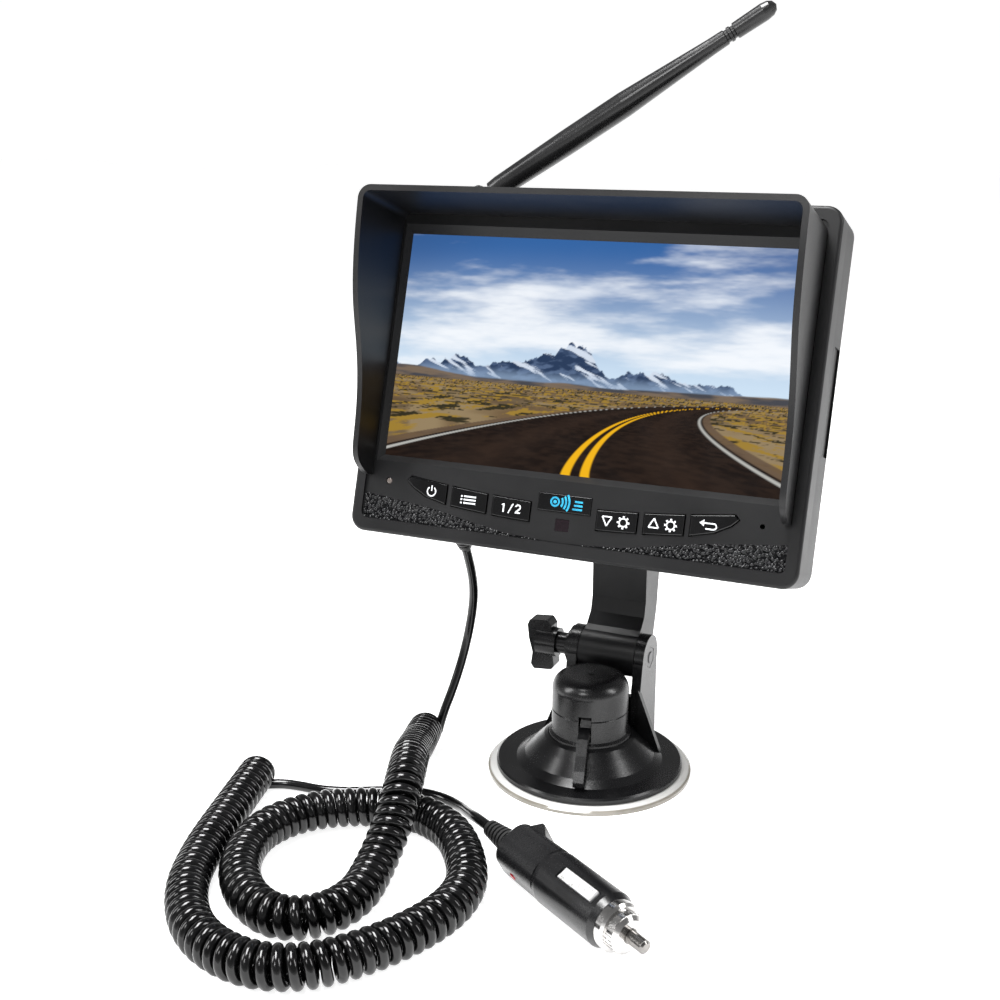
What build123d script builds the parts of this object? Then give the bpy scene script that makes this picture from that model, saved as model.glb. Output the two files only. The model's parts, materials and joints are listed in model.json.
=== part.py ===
from build123d import *
import os
from math import cos, pi, radians, sin, tan

# A backup camera kit's monitor: a wireless 7 inch monitor with a sun hood and an antenna, on a
# tilting arm over a lever-locked suction mount, with a curly 12 V power lead.
# Millimetres, +Z up. The origin is the centre of the suction cup's face on the surface that it
# stands on. The screen faces -Y and leans back.
#
# The monitor is modelled flat: x across the screen, y up the screen, z out of the screen,
# from the middle of the picture's lower edge. MONITOR then stands it up.

os.makedirs("parts", exist_ok=True)

# ---- driving dimensions -------------------------------------------------------------------
GAP = 0.3  # between pieces that move past each other
RUN = 0.05  # radial clearance of a running fit
WALL = 2.2

# monitor
LEAN = 17.8  # how far the screen leans back, degrees
SCREEN_AT = (0, -27.7, 130.4)  # the picture's lower middle, at the bezel's face
ACTIVE_W, ACTIVE_H = 154.1, 85.9  # a 7 inch 16:9 picture
CASE_HW = 87.5  # half the case's width
CASE_LOW, CASE_HIGH = -30.8, 101.0
CASE_R = 6.0
RIM_Z = 1.0  # the border stands this far in front of the face
SPLIT_Z = -9.0  # where the front and rear shells meet
BACK_Z = -28.0
CHAMFER = 5.0  # the rear shell's sloped edge
FACE_HW = 83.0
FACE_LOW, FACE_HIGH = -25.7, 96.2
FACE_T = 2.4  # thickness of the face
PICTURE_Z = -2.0  # the screen's surface

# sun hood
HOOD_HW = 82.7
HOOD_TOP = 95.9
HOOD_T = 2.2
HOOD_EDGE = [(-8.8, 4.0), (-7.0, 8.2), (-2.8, 13.3), (5.0, 14.9), (20.5, 16.4), (38.0, 21.4)]
HOOD_EDGE += [(54.0, 28.0), (71.5, 32.0), (93.5, 34.0), (100.0, 34.2)]

# buttons: the row follows an arc, and each is BUTTON_H tall
ROW_LOW, ROW_R = -15.6, 455.0
BUTTON_H = 7.3
BUTTON_GAP = 0.35
PRESS = 0.5
CAP_Z = 0.7

# antenna
ANT_X, ANT_Y, ANT_Z = -58.0, 104.75, -18.5  # the tilt pin's middle
ANT_ANGLE = 34.5  # above the screen's x
ANT_LEN = 131.0
ANT_PIN_R = 1.2

# gland on the lower sloped edge
GLAND_X = -51.0
WIRE_R = 1.9
CURL_R = 7.3  # outer radius of the curly part

# suction mount
CUP_R = 41.2
FLANGE_R = 37.7
FLANGE_LOW, FLANGE_HIGH = 2.6, 5.0
SKIRT_R = 29.0
COLLAR_R, COLLAR_Z = 17.0, 15.7
DRUM_R = 15.4
DRUM_IN = 13.2
SEAM_Z = 26.5
DOME_Z = 41.0
DOME_FILLET = 6.0

# tilt hinge, along X
HINGE_Y, HINGE_Z = 25.5, 41.0
BOLT_R = 2.5
EAR_IN, EAR_OUT = 12.5, 16.5
EAR_Y0, EAR_Y1 = 13.8, 34.4
BARREL_R = 9.2

# locking lever, stem and cam
LEVER_YAW = 13.0
PIVOT_Y, PIVOT_Z = -12.0, 22.5
PIVOT_R = 1.5
PIN_HL = 6.6
LEVER_HW = 2.1
SLOT_HW = 2.6
PLATE_Z = 28.53  # underside of the stem's plate, lever locked
STEM_TRAVEL = 2.5

# arm
ARM_HW = 11.8
ARM_T = 3.0

# plug, lying along a line on the floor
PLUG_AT = (-8.4, -77.6)  # where the lead enters its relief
PLUG_TURN = -31.8
PLUG_Z = 9.8
PLUG_ROLL = 117.0  # brings one side contact up towards the front

MONITOR = Location(Plane(origin=SCREEN_AT, x_dir=(1, 0, 0),
                         z_dir=(0, -cos(radians(LEAN)), sin(radians(LEAN)))))
YAW = Location((0, 0, 0), (0, 0, LEVER_YAW))
PLUG_AXIS = Location(Plane(origin=(0, 0, 0), x_dir=(0, 1, 0), z_dir=(1, 0, 0)))
PLUG = Location((PLUG_AT[0], PLUG_AT[1], PLUG_Z), (0, 0, PLUG_TURN)) * PLUG_AXIS * Location(
    (0, 0, 0), (0, 0, PLUG_ROLL))


def save(shape, name):
    shape.label = name
    export_step(shape, f"parts/{name}.step")
    print(f"{name:20s} {shape.volume:10.1f} mm3")


def box(x0, x1, y0, y1, z0, z1):
    centre = ((x0 + x1) / 2, (y0 + y1) / 2, (z0 + z1) / 2)
    return Pos(*centre) * Box(x1 - x0, y1 - y0, z1 - z0)


def cyl(x, y, z0, z1, r):
    return Pos(x, y, (z0 + z1) / 2) * Cylinder(r, z1 - z0)


def rod_x(x0, x1, y, z, r):
    return Pos((x0 + x1) / 2, y, z) * Rot(0, 90, 0) * Cylinder(r, x1 - x0)


def plate(hw, low, high, r, z0, z1):
    """A rounded rectangle hw either side of the middle, from z0 to z1."""
    face = Pos(0, (low + high) / 2) * RectangleRounded(2 * hw, high - low, r)
    return extrude(Pos(0, 0, z0) * face, z1 - z0)


def turned(points):
    """A solid of revolution about Z, from (radius, height) points."""
    outline = Polyline(*[(r, 0, z) for r, z in points], close=True)
    return revolve(make_face(outline), Axis.Z)


def slab(points, x0, x1):
    """A side outline of (y, z) points, from x0 to x1."""
    outline = Polyline(*[(x0, y, z) for y, z in points], close=True)
    return extrude(make_face(outline), amount=x1 - x0, dir=(1, 0, 0))


def chain(circles, half_width):
    """A bar through (y, z, r) circles, as wide as each where it passes it, about X = 0."""
    body = None
    for (y0, z0, r0), (y1, z1, r1) in zip(circles, circles[1:]):
        along = Vector(y1 - y0, z1 - z0).normalized()
        out = Vector(-along.Y, along.X)
        quad = [(y0 + r0 * out.X, z0 + r0 * out.Y), (y1 + r1 * out.X, z1 + r1 * out.Y),
                (y1 - r1 * out.X, z1 - r1 * out.Y), (y0 - r0 * out.X, z0 - r0 * out.Y)]
        link = slab(quad, -half_width, half_width)
        for y, z, r in ((y0, z0, r0), (y1, z1, r1)):
            link += rod_x(-half_width, half_width, y, z, r)
        body = link if body is None else body + link
    return body


# ---- monitor case -------------------------------------------------------------------------
SCREW_AT = [(-78.0, -20.5), (78.0, -20.5), (-78.0, 92.6), (78.0, 92.6)]
LED_AT, HOLE_AT = (-73.0, -10.4), (73.0, -10.4)
BADGE_HW, BADGE_H = 10.5, 6.7
BADGE_AT = -11.0
IR_W, IR_H, IR_AT = 5.4, 4.6, -18.9


def row_y(x):
    """Height of the button row's middle at x."""
    return ROW_LOW + x * x / (2 * ROW_R)


def button_face(inner, outer, side, tapered, grow=0.0):
    """A button's outline: side is -1 or 1, inner and outer are distances from the middle."""
    half = BUTTON_H / 2 + grow
    a, b = inner - grow, outer + grow
    top = [(a, row_y(a) + half), ((a + b) / 2, row_y((a + b) / 2) + half)]
    if tapered:
        tip = (b, row_y(outer) + 1.75)
        low = [(b - 2.6, row_y(b - 2.6) - 0.3 - grow), (b - 8.5, row_y(b - 8.5) - 2.6 - grow)]
        top.append((b - 1.6, row_y(b - 1.6) + half - 0.1))
    else:
        tip = (b, row_y(b) + half)
        low = [(b, row_y(b) - half)]
    points = top + [tip] + low + [((a + b) / 2, row_y((a + b) / 2) - half), (a, row_y(a) - half)]
    if tapered:
        points = top + [tip] + low + [(a, row_y(a) - half)]
    return make_face(Polyline(*[(side * x, y) for x, y in points], close=True))


BUTTONS = {
    "button_power": (47.8, 64.8, -1, True),
    "button_menu": (30.8, 45.5, -1, False),
    "button_source": (13.1, 28.3, -1, False),
    "button_down": (13.1, 28.3, 1, False),
    "button_up": (30.8, 45.5, 1, False),
    "button_reverse": (47.8, 64.8, 1, True),
}


def front_bezel():
    body = plate(CASE_HW, CASE_LOW, CASE_HIGH, CASE_R, SPLIT_Z, RIM_Z)
    body = fillet(body.faces().sort_by(Axis.Z)[-1].edges(), 1.4)
    body -= plate(FACE_HW, FACE_LOW, FACE_HIGH, 3.0, 0, RIM_Z + 1)
    inside = CASE_HW - WALL
    body -= plate(inside, CASE_LOW + WALL, CASE_HIGH - WALL, CASE_R - WALL, SPLIT_Z - 1, -FACE_T)
    middle = ACTIVE_H / 2
    near = Plane.XY.offset(0.01) * Pos(0, middle + 0.5) * Rectangle(159.0, 92.5)
    far = Plane.XY.offset(-FACE_T - 0.01) * Pos(0, middle) * Rectangle(ACTIVE_W + 0.8, ACTIVE_H + 0.8)
    body -= loft([near, far])
    for inner, outer, side, tapered in BUTTONS.values():
        hole = button_face(inner, outer, side, tapered, BUTTON_GAP)
        body -= extrude(Pos(0, 0, -FACE_T - 1) * hole, FACE_T + 3)
    body -= box(-BADGE_HW, BADGE_HW, BADGE_AT - BADGE_H / 2, BADGE_AT + BADGE_H / 2, -1.0, 2)
    body -= box(-IR_W / 2, IR_W / 2, IR_AT - IR_H / 2, IR_AT + IR_H / 2, -5, 2)
    body -= cyl(*LED_AT, -5, 2, 1.3)
    body -= cyl(*HOLE_AT, -5, 2, 0.9)
    for x, y in SCREW_AT:
        body += cyl(x, y, SPLIT_Z, -FACE_T + 0.2, 2.8)
        body -= cyl(x, y, SPLIT_Z - 1, -3.6, 1.2)
    return body


def rear_shape(inset):
    """The rear shell's outer form, or its hollow when inset is the wall."""
    back = BACK_Z + inset
    hw, low, high = CASE_HW - inset, CASE_LOW + inset, CASE_HIGH - inset
    r = CASE_R - inset * 0.9
    body = plate(hw, low, high, r, back + CHAMFER, SPLIT_Z)
    wide = Plane.XY.offset(back + CHAMFER) * Pos(0, (low + high) / 2) * RectangleRounded(
        2 * hw, high - low, r)
    narrow = Plane.XY.offset(back) * Pos(0, (low + high) / 2) * RectangleRounded(
        2 * (hw - CHAMFER), high - low - 2 * CHAMFER, r)
    return body + loft([wide, narrow])


GLAND_AT = (GLAND_X, CASE_LOW + CHAMFER / 2, BACK_Z + CHAMFER / 2)
GLAND_DIR = (0, -sin(radians(45)), -cos(radians(45)))
GLAND = Location(Plane(origin=GLAND_AT, x_dir=(1, 0, 0), z_dir=GLAND_DIR))
GLAND_OUT, GLAND_IN = 6.0, 4.5
SHOE_HW, SHOE_LOW, SHOE_HIGH = 17.0, 13.0, 51.0
SHOE_SCREWS = [(-14.0, 16.0), (14.0, 16.0), (-14.0, 48.0), (14.0, 48.0)]
SOCKET_R = 3.2


def rear_housing():
    body = rear_shape(0)
    hollow = rear_shape(WALL) & box(-100, 100, -60, 130, BACK_Z + WALL, SPLIT_Z + 0.001)
    body -= hollow
    for x, y in SCREW_AT:
        body += cyl(x, y, BACK_Z + 0.4, SPLIT_Z, 3.6) & rear_shape(0)
        body -= cyl(x, y, BACK_Z - 1, SPLIT_Z + 1, 1.6)
        body -= cyl(x, y, BACK_Z - 1, BACK_Z + 2.4, 2.9)
    for side in (-1, 1):
        for row in range(9):
            y = 20.0 + 6.0 * row
            body -= box(side * 48 - 13, side * 48 + 13, y, y + 2.2, BACK_Z - 1, BACK_Z + WALL + 1)
    for column in range(7):
        for row in range(5):
            body -= cyl(36 + 4.2 * column, -10 + 4.2 * row, BACK_Z - 1, BACK_Z + WALL + 1, 0.9)
    body -= box(CASE_HW - 0.8, CASE_HW + 1, 16.5, 55.0, -23.0, -13.0)
    body -= GLAND * cyl(0, 0, -6, 3, 3.0)
    body -= Pos(ANT_X, CASE_HIGH, ANT_Z) * Rot(90, 0, 0) * Cylinder(SOCKET_R, 12)
    for x, y in SHOE_SCREWS:
        body -= cyl(x, y, BACK_Z - 1, BACK_Z + WALL + 1, 1.2)
    return body


def dock_shoe():
    body = plate(SHOE_HW, SHOE_LOW, SHOE_HIGH, 2.0, BACK_Z - 2.5, BACK_Z)
    body += box(-8, 8, 15.4, SHOE_HIGH - 1, BACK_Z - 4.2, BACK_Z - 2.4)
    body += box(-12, 12, 15.4, SHOE_HIGH - 1, BACK_Z - 6.6, BACK_Z - 4.0)
    for x, y in SHOE_SCREWS:
        body -= cyl(x, y, BACK_Z - 3, BACK_Z - 1.0, 2.35)
        body -= cyl(x, y, BACK_Z - 3, BACK_Z + 1, 1.2)
    return body


def screw(x, y, head_z, head_r, head_h, shank_r, shank_l):
    """A pan-head screw, its head's outer face at head_z, pointing towards the screen."""
    body = cyl(x, y, head_z, head_z + head_h, head_r)
    body = fillet(body.edges().sort_by(Axis.Z)[:1], head_h * 0.4)
    body += cyl(x, y, head_z + head_h - 0.1, head_z + head_h + shank_l, shank_r)
    body -= box(x - head_r * 0.6, x + head_r * 0.6, y - 0.3, y + 0.3, head_z - 1, head_z + 0.7)
    body -= box(x - 0.3, x + 0.3, y - head_r * 0.6, y + head_r * 0.6, head_z - 1, head_z + 0.7)
    return body


def dock_screws():
    return Compound([screw(x, y, BACK_Z - 2.5, 2.3, 1.4, 1.2, 4.5) for x, y in SHOE_SCREWS])


def case_screws():
    return Compound([screw(x, y, BACK_Z + 0.6, 2.6, 1.7, 1.15, 20.5) for x, y in SCREW_AT])


def sun_hood():
    middle = HOOD_TOP / 2
    outer = plate(HOOD_HW, -60, HOOD_TOP, 5.0, 0.05, 40)
    inner = plate(HOOD_HW - HOOD_T, -62, HOOD_TOP - HOOD_T, 5.0 - HOOD_T, 0, 41)
    shell = outer - inner
    front = Spline(*[(0, y, z) for y, z in HOOD_EDGE])
    rest = Polyline((0, 100.0, 34.2), (0, 100.0, 0), (0, -8.8, 0), (0, -8.8, 4.0))
    side = extrude(make_face([front, rest]), amount=CASE_HW + middle, both=True, dir=(1, 0, 0))
    return shell & side


def lcd_panel():
    return box(-81.5, 81.5, -3.8, 89.4, -7.0, -FACE_T - 0.1)


def lcd_frame():
    body = box(-82.3, 82.3, -4.5, 89.4, -8.4, -7.1)
    body -= box(-60, 60, 12, 74, -8.7, -8.0)
    return body


def badge():
    body = box(-BADGE_HW + 0.1, BADGE_HW - 0.1, BADGE_AT - BADGE_H / 2 + 0.1,
               BADGE_AT + BADGE_H / 2 - 0.1, -1.0, 0.5)
    return fillet(body.faces().sort_by(Axis.Z)[-1].edges(), 0.4)


def ir_window():
    low, high = IR_AT - IR_H / 2 + 0.05, IR_AT + IR_H / 2 - 0.05
    return box(-IR_W / 2 + 0.05, IR_W / 2 - 0.05, low, high, -3.6, -0.1)


def power_led():
    dome = cyl(*LED_AT, -4.4, 0.1, 1.25)
    return fillet(dome.edges().sort_by(Axis.Z)[-1:], 0.8)


def button(inner, outer, side, tapered):
    cap = extrude(Pos(0, 0, -2.7) * button_face(inner, outer, side, tapered), CAP_Z + 2.7)
    cap = fillet(cap.faces().sort_by(Axis.Z)[-1].edges(), 0.4)
    flange = button_face(inner, outer, side, tapered, 0.9)
    cap += extrude(Pos(0, 0, -3.5) * flange, 0.8)
    middle = (inner + outer) / 2 - (2.5 if tapered else 0)
    cap += cyl(side * middle, row_y(middle), -4.8, -3.4, 1.4)
    return cap


def tact_switches():
    parts = []
    for inner, outer, side, tapered in BUTTONS.values():
        middle = (inner + outer) / 2 - (2.5 if tapered else 0)
        x, y = side * middle, row_y(middle)
        parts.append(box(x - 3, x + 3, y - 3, y + 3, -9.4, -6.3) + cyl(x, y, -6.4, -5.6, 1.7))
    return Compound(parts)


def button_board():
    body = box(-72, 72, -23.0, -6.2, -11.0, -9.4)
    body += box(-6, 6, -22.0, -16.0, -9.5, -5.0)
    body += cyl(-66.0, -10.4, -9.5, -8.0, 1.0)
    return body


def main_board():
    body = box(-60, 60, 2, 82, -14.2, -12.6)
    for x, y, w, h, t in [(-25, 45, 18, 18, 1.6), (12, 52, 14, 20, 1.4), (38, 25, 10, 10, 1.5)]:
        body += box(x - w / 2, x + w / 2, y - h / 2, y + h / 2, -14.3 - t, -14.1)
    for x, y in [(-48, 14), (-36, 14), (-48, 70)]:
        body += cyl(x, y, -21.5, -14.1, 4.0)
    body += box(-20, 20, 2.5, 8, -12.7, -10.6)
    return body


def receiver_board():
    body = box(-72, -34, 79.5, 93.0, -20.6, -19.4)
    body += box(-70, -44, 81, 91.5, -19.5, -16.6)
    return body


def speaker():
    body = cyl(48.6, -1.6, BACK_Z + WALL + 0.1, BACK_Z + WALL + 2.0, 15.0)
    body += cyl(48.6, -1.6, BACK_Z + WALL + 1.9, BACK_Z + WALL + 5.4, 8.5)
    return body


def cord_gland():
    body = cyl(0, 0, -GLAND_IN, -3.25, 3.4)
    body += cyl(0, 0, -3.3, 0.2, 2.9)
    cone = Pos(0, 0, (0.1 + GLAND_OUT) / 2) * Cone(4.0, 2.6, GLAND_OUT - 0.1)
    body += cone
    for step in range(2):
        ring = Pos(0, 0, 1.9 + 1.9 * step) * (Cylinder(6, 0.7) - Cylinder(2.5, 0.8))
        body -= ring
    return GLAND * body


# ---- antenna ------------------------------------------------------------------------------
def upright(y0, y1, r):
    return Pos(ANT_X, (y0 + y1) / 2, ANT_Z) * Rot(90, 0, 0) * Cylinder(r, y1 - y0)


def antenna_socket():
    body = upright(CASE_HIGH - WALL - 3.9, CASE_HIGH + 0.6, SOCKET_R)
    body += upright(CASE_HIGH - WALL - 3.9, CASE_HIGH - WALL - 2.2, 4.0)
    return body - upright(CASE_HIGH - 2.0, CASE_HIGH + 1, 1.9)


def antenna_collar():
    body = upright(CASE_HIGH + 0.9, ANT_Y, 4.3)
    body += upright(ANT_Y - 0.1, ANT_Y + 5, 4.3) & cyl(ANT_X, ANT_Y, ANT_Z - 6, ANT_Z + 6, 4.3)
    body += upright(CASE_HIGH - 1.6, CASE_HIGH + 1.0, 1.9 - RUN)
    body -= box(ANT_X - 6, ANT_X + 6, ANT_Y - 2.3, ANT_Y + 6, ANT_Z - 2.0, ANT_Z + 2.0)
    return body - cyl(ANT_X, ANT_Y, ANT_Z - 6, ANT_Z + 6, ANT_PIN_R)


def antenna_pin():
    return cyl(ANT_X, ANT_Y, ANT_Z - 3.6, ANT_Z + 3.6, ANT_PIN_R)


MAST = [(5.2, 0), (5.2, 3.9), (9.0, 4.3), (40.0, 4.8), (66.0, 4.8), (104.0, 3.0), (110.0, 2.9)]
MAST += [(110.4, 2.4), (111.2, 2.4), (111.6, 2.9), (112.6, 2.9), (113.0, 2.4), (113.8, 2.4)]
MAST += [(114.2, 3.1), (126.0, 3.3), (128.6, 2.9), (130.2, 1.9), (ANT_LEN, 0)]


def antenna_mast():
    outline = Polyline(*[(r, 0, z) for z, r in MAST], close=True)
    shaft = revolve(make_face(outline), Axis.Z)
    tongue = Rot(90, 0, 0) * Cylinder(2.0, 3.4)
    tongue += box(-2.0, 2.0, -1.7, 1.7, 0, 6)
    body = shaft + tongue
    body -= Rot(90, 0, 0) * Cylinder(ANT_PIN_R + RUN, 10)
    lay = Location(Plane(origin=(ANT_X, ANT_Y, ANT_Z), x_dir=(-sin(radians(ANT_ANGLE)),
                   cos(radians(ANT_ANGLE)), 0), z_dir=(cos(radians(ANT_ANGLE)),
                   sin(radians(ANT_ANGLE)), 0)))
    return lay * body


# ---- suction mount ------------------------------------------------------------------------
def suction_cup():
    return turned([(0, 0), (CUP_R, 0), (CUP_R, 1.3), (40.4, 1.8), (FLANGE_R, 2.2), (16, 2.2),
                   (14, 3.0), (9.0, 3.0), (9.0, 8.0), (6.0, 8.0), (6.0, 4.6), (0, 4.6)])


def ear_outline():
    """One ear's side: straight sides up to a round boss about the hinge."""
    return [(EAR_Y0, FLANGE_LOW), (EAR_Y1, FLANGE_LOW), (EAR_Y1, HINGE_Z), (HINGE_Y, HINGE_Z + 3),
            (EAR_Y0 + 2.0, HINGE_Z), (EAR_Y0, 30.0)]


def mount_base():
    body = turned([(SKIRT_R - 4.5, FLANGE_LOW), (FLANGE_R, FLANGE_LOW), (FLANGE_R, 4.3),
                   (FLANGE_R - 0.7, FLANGE_HIGH), (SKIRT_R + 0.6, FLANGE_HIGH),
                   (26.2, 7.2), (21.4, 12.0), (18.4, 14.9), (COLLAR_R, COLLAR_Z),
                   (11, COLLAR_Z), (11, 13.0), (16.4, 13.0), (20.0, 9.6), (23.8, 5.6)])
    for side in (-1, 1):
        x0, x1 = sorted((side * EAR_IN, side * EAR_OUT))
        body += slab(ear_outline(), x0, x1)
        body += rod_x(x0, x1, HINGE_Y, HINGE_Z, 9.4)
        rib = Polyline((side * (EAR_OUT - 0.5), 12.6, 31.0), (side * (EAR_OUT - 0.5), 12.6, 3.2),
                       (side * 26.6, 12.6, 3.2), (side * 26.0, 12.6, 5.2), close=True)
        body += extrude(make_face(rib), amount=2.4, dir=(0, 1, 0))
    body += box(-EAR_IN - 0.5, EAR_IN + 0.5, 31.2, EAR_Y1, FLANGE_LOW, 19.0)
    body -= cyl(0, 0, 13.0, 60, DRUM_R) & box(-20, 20, -20, 20, COLLAR_Z, 60)
    body -= rod_x(-20, 20, HINGE_Y, HINGE_Z, BOLT_R + RUN)
    nut_pocket = Pos(EAR_OUT - 2.5, HINGE_Y, HINGE_Z) * Rot(0, 90, 0) * extrude(
        RegularPolygon(8.3 / 2, 6, major_radius=False), 4)
    return body - nut_pocket


def cam_housing():
    body = turned([(DRUM_IN, COLLAR_Z), (COLLAR_R - 0.4, COLLAR_Z), (COLLAR_R - 0.4, 16.6),
                   (DRUM_R, 17.4), (DRUM_R, SEAM_Z - 0.3), (DRUM_R - 0.3, SEAM_Z),
                   (DRUM_IN, SEAM_Z)])
    body -= box(-SLOT_HW, SLOT_HW, -20, -6, 17.8, SEAM_Z + 1)
    body -= rod_x(-PIN_HL, PIN_HL, PIVOT_Y, PIVOT_Z, PIVOT_R)
    return YAW * body


def dome_cap():
    body = cyl(0, 0, SEAM_Z, DOME_Z, DRUM_R)
    body = fillet(body.edges().sort_by(Axis.Z)[-1:], DOME_FILLET)
    body = chamfer(body.edges().sort_by(Axis.Z)[:1], 0.3)
    hollow = cyl(0, 0, SEAM_Z - 1, DOME_Z - 2.4, DRUM_IN)
    body -= fillet(hollow.edges().sort_by(Axis.Z)[-1:], DOME_FILLET - 2.2)
    body += cyl(0, 0, DOME_Z - 0.2, DOME_Z + 0.5, 1.4)
    body -= box(-SLOT_HW, SLOT_HW, -20, -6, SEAM_Z - 1, 28.6)
    return YAW * body


LEVER_FIN = [(-13.2, 20.8), (-15.2, 19.4), (-17.0, 17.9), (-19.2, 16.0), (-22.2, 13.1), (-27.0, 8.3),
             (-30.0, 6.6), (-32.3, 6.8), (-32.9, 9.2), (-29.6, 12.4), (-25.6, 17.0), (-21.6, 22.2),
             (-18.8, 23.0), (-16.6, 23.6), (-13.6, 23.8)]
NOSE = (PIVOT_Y + 4.4 * cos(radians(70)), PIVOT_Z + 4.4 * sin(radians(70)), 1.6)


def cam_lever():
    body = slab(LEVER_FIN, -LEVER_HW, LEVER_HW)
    body += chain([(PIVOT_Y, PIVOT_Z, 2.4), NOSE], LEVER_HW)
    body -= rod_x(-5, 5, PIVOT_Y, PIVOT_Z, PIVOT_R + RUN)
    return YAW * body


def lever_pin():
    return YAW * rod_x(-PIN_HL, PIN_HL, PIVOT_Y, PIVOT_Z, PIVOT_R)


def pull_stem():
    body = cyl(0, 0, PLATE_Z, PLATE_Z + 1.6, 11.2)
    body += cyl(0, 0, 9.0, PLATE_Z + 0.5, 3.0)
    body += cyl(0, 0, 4.6 + STEM_TRAVEL + GAP, 9.4, 5.6)
    body += cyl(0, 0, PLATE_Z + 1.5, PLATE_Z + 3.2, 4.0)
    return body


def stem_spring():
    low = PLATE_Z + 1.6 + 0.75
    high = DOME_Z - 2.4 - 0.75
    turns = 3.0
    path = Helix(pitch=(high - low) / turns, height=high - low, radius=6.2, center=(0, 0, low))
    wire = Plane(origin=path @ 0, z_dir=path % 0) * Circle(0.6)
    return sweep(wire, path=path)


# ---- tilt hinge and arm ---------------------------------------------------------------------
def hinge_nut():
    body = extrude(RegularPolygon(4.0, 6, major_radius=False), 2.4)
    body -= Cylinder(BOLT_R + RUN, 10)
    return Pos(EAR_OUT - 2.5, HINGE_Y, HINGE_Z) * Rot(0, 90, 0) * body


def hinge_bolt():
    body = rod_x(-33.0, EAR_OUT + 0.2, HINGE_Y, HINGE_Z, BOLT_R)
    return chamfer(body.edges().sort_by(Axis.X)[-1:], 0.4)


def hinge_washers():
    outer = rod_x(-EAR_OUT - 1.2, -EAR_OUT, HINGE_Y, HINGE_Z, 8.6)
    inner = rod_x(-EAR_OUT - 2.6, -EAR_OUT - 1.3, HINGE_Y, HINGE_Z, 6.4)
    bore = rod_x(-30, 0, HINGE_Y, HINGE_Z, BOLT_R + RUN)
    return Compound([outer - bore, inner - bore])


KNOB_EDGE = [(-36.2, 50.6), (-28.0, 51.4), (-26.2, 48.8), (-26.4, 45.6), (-24.8, 43.0),
             (-24.8, 38.5), (-25.6, 35.5), (-25.0, 31.0), (-26.2, 29.4), (-34.2, 28.6),
             (-35.6, 30.6), (-34.9, 36.0), (-36.6, 42.5), (-37.2, 48.2)]
KNOB_T = 6.8


def wing_knob():
    outline = Polyline(*[(x, HINGE_Y - KNOB_T / 2, z) for x, z in KNOB_EDGE], close=True)
    body = extrude(make_face(outline), amount=KNOB_T, dir=(0, 1, 0))
    upright_edges = body.edges().filter_by(Axis.Y)
    body = fillet(upright_edges, 0.9)
    body += rod_x(-33.0, -24.0, HINGE_Y, HINGE_Z, 6.2)
    body += rod_x(-25.0, -EAR_OUT - 3.0, HINGE_Y, HINGE_Z, 4.6)
    return body - rod_x(-33.0, 0, HINGE_Y, HINGE_Z, BOLT_R)


ARM_SIDE = [(32.0, 62.0), (32.0, 118.0), (26.5, 127.0), (15.5, 133.0), (25.4, 163.0), (33.0, 161.0),
            (43.0, 150.0), (49.0, 136.0), (49.0, 72.0), (47.0, 56.0), (43.5, 44.5), (36.0, 33.0),
            (27.5, 33.0), (20.5, 48.2), (26.0, 51.5), (30.4, 55.8)]
HOLLOW_SIDE = [(35.2, 64.0), (35.2, 118.0), (46.0, 130.0), (60.0, 130.0), (60.0, 60.0),
               (44.0, 58.0), (38.0, 58.0)]


def arm():
    """A channel, open at the back, from the hinge barrel up to the slotted head plate."""
    body = slab(ARM_SIDE, -ARM_HW, ARM_HW)
    body -= slab(HOLLOW_SIDE, -ARM_HW + ARM_T, ARM_HW - ARM_T)
    body += rod_x(-EAR_IN + GAP, EAR_IN - GAP, HINGE_Y, HINGE_Z, BARREL_R)
    head = box(-16, 16, 12.0, 50.4, BACK_Z - 13.4, BACK_Z - 2.7)
    body += MONITOR * head
    slot = box(-8.2, 8.2, 15.0, 60, BACK_Z - 4.5, BACK_Z - 1)
    slot += box(-12.2, 12.2, 15.0, 60, BACK_Z - 6.8, BACK_Z - 3.9)
    body -= MONITOR * slot
    body -= MONITOR * box(-30, 30, 0, 70, BACK_Z - 2.7, BACK_Z + 10)
    return body - rod_x(-20, 20, HINGE_Y, HINGE_Z, BOLT_R + 0.08)


# ---- power lead -----------------------------------------------------------------------------
LEAD_ROUTE = [(-51.0, -9.28, 90.23), (-51.0, -4.26, 80.45), (-52.6, 2.2, 66.5),
              (-55.6, 4.4, 51.5), (-57.6, 1.0, 37.5), (-59.6, -5.0, 25.0), (-62.4, -9.2, 14.6),
              (-63.6, -10.8, 7.6)]
CURL_ROUTE = [(-68.4, -12.8, 9.0), (-61.2, -33.0, 13.0), (-52.0, -56.0, 20.6), (-45.0, -71.0, 25.4),
              (-38.2, -88.0, 24.6), (-35.8, -101.5, 15.5), (-34.3, -117.0, 8.3),
              (-31.6, -133.0, 7.3), (-36.5, -147.0, 7.3), (-48.5, -154.0, 7.3),
              (-62.5, -149.5, 7.3), (-75.0, -138.5, 7.3), (-83.0, -123.5, 7.3),
              (-85.5, -107.5, 7.3), (-78.0, -90.5, 7.3), (-61.0, -78.5, 7.3),
              (-41.5, -73.4, 7.3), (-23.5, -79.8, 7.3), (-10.5, -94.0, 7.3), (-1.0, -111.5, 7.3),
              (-1.0, -131.0, 7.3), (-11.5, -155.0, 7.3), (-27.0, -173.5, 7.3),
              (-46.0, -179.0, 7.3), (-68.5, -172.2, 7.3), (-86.0, -153.8, 7.3),
              (-95.6, -132.0, 7.3), (-102.9, -107.0, 7.3), (-112.4, -71.0, 7.3)]
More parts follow.
